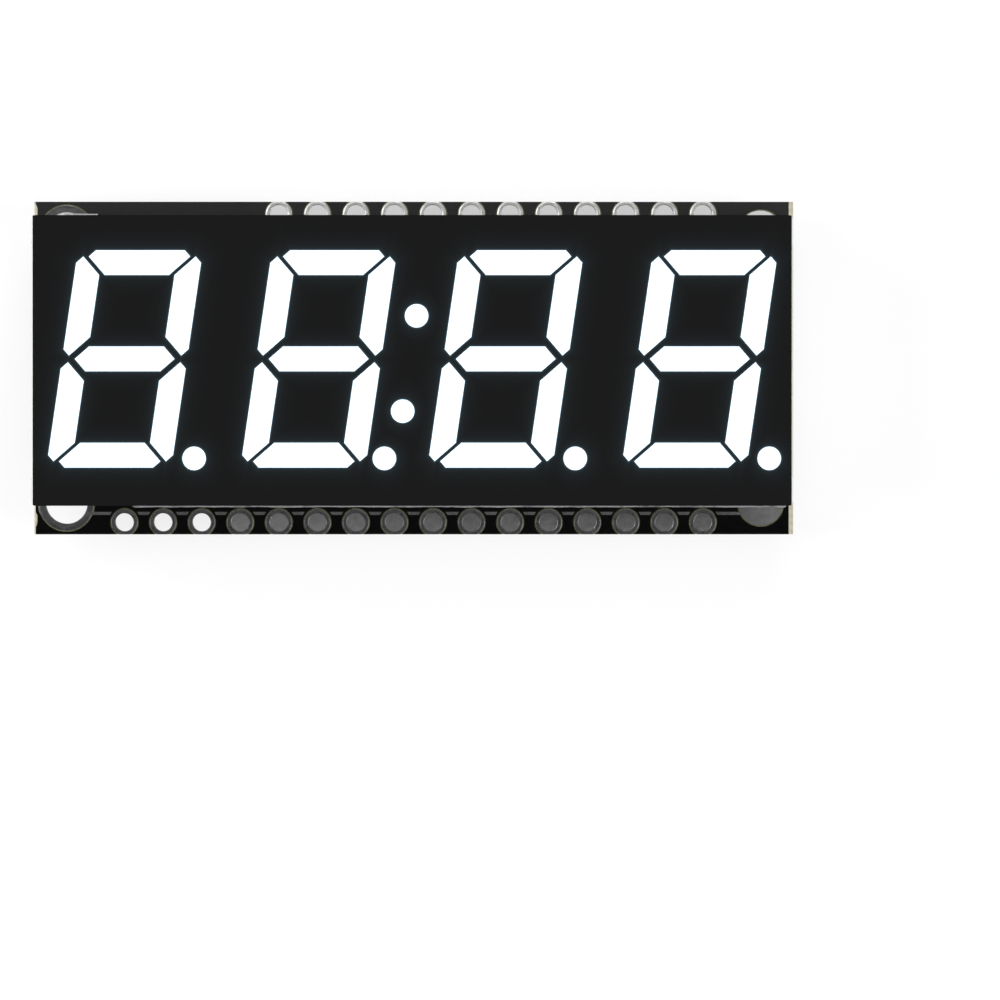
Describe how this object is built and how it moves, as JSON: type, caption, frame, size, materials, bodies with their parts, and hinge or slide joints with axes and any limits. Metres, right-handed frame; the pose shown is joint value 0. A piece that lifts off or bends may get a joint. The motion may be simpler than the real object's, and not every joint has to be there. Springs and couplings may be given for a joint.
{
  "type": "seven segment display module",
  "caption": "Digit display module: a black driver board with a lit seven segment display on its front and a driver chip with small parts on its back.",
  "frame": {"origin": "centre of the footprint, at the height of the driver chip's flat top, on which the module rests", "axes": "+X along the board, +Y across it towards the row of twelve header holes, +Z out of the digits"},
  "size_m": [0.0502, 0.022, 0.0121],
  "materials": {
    "laminate": "glass fibre laminate, cream, rough at the snapped edges",
    "solder_mask": "satin black",
    "tinned_copper": "tinned, slightly uneven",
    "solder": "bright, wavy",
    "pin_metal": "cut tips, tin plated",
    "lead_metal": "tin plated",
    "white_print": "screen printed white",
    "grey_print": "screen printed, in shade",
    "housing_plastic": "moulded, light grey white",
    "face_black": "even matt black coat",
    "lit_segment": "milky resin, lit white",
    "carrier_laminate": "bare laminate",
    "lamp_die": "small crystal with a yellow coat",
    "potting_resin": "cast resin",
    "chip_black": "fine matt moulding",
    "resistor_ceramic": "white ceramic",
    "resistor_coat": "black glaze with white numbers",
    "end_terminal": "tin plated, grey",
    "capacitor_ceramic": "brown ceramic"
  },
  "bodies": {
    "root": {"circuit_board": "laminate", "back_solder_mask": "solder_mask", "front_solder_mask": "solder_mask", "header_row_16_plating": "tinned_copper", "header_row_12_plating": "tinned_copper", "mounting_hole_plating": "tinned_copper", "display_pin_plating": "tinned_copper", "driver_chip_pads": "tinned_copper", "capacitor_pads": "tinned_copper", "diode_pads": "tinned_copper", "address_resistor_pads": "tinned_copper", "bus_resistor_pads": "tinned_copper", "address_jumper_pads": "tinned_copper", "fiducial_dots": "tinned_copper", "chip_outline_print": "white_print", "jumper_frame_print": "white_print", "diode_print": "white_print", "header_line_print": "grey_print", "display_housing": "housing_plastic", "face_coat": "face_black", "digit_1_segments": "lit_segment", "digit_2_segments": "lit_segment", "digit_3_segments": "lit_segment", "digit_4_segments": "lit_segment", "decimal_points": "lit_segment", "colon_dots": "lit_segment", "led_carrier_board": "carrier_laminate", "led_dies": "lamp_die", "back_potting": "potting_resin", "display_pins_front_row": "pin_metal", "display_pins_rear_row": "pin_metal", "display_solder_front_row": "solder", "display_solder_rear_row": "solder", "driver_chip_body": "chip_black", "driver_leads_front_row": "lead_metal", "driver_leads_rear_row": "lead_metal", "driver_solder_front_row": "solder", "driver_solder_rear_row": "solder", "capacitor_body": "capacitor_ceramic", "capacitor_terminals": "end_terminal", "capacitor_solder": "solder", "diode_body": "chip_black", "diode_leads": "lead_metal", "diode_solder": "solder", "address_resistor_bodies": "resistor_ceramic", "address_resistor_coats": "resistor_coat", "address_resistor_terminals": "end_terminal", "address_resistor_solder": "solder", "bus_resistor_bodies": "resistor_ceramic", "bus_resistor_coats": "resistor_coat", "bus_resistor_terminals": "end_terminal", "bus_resistor_solder": "solder"}
  },
  "joints": []
}
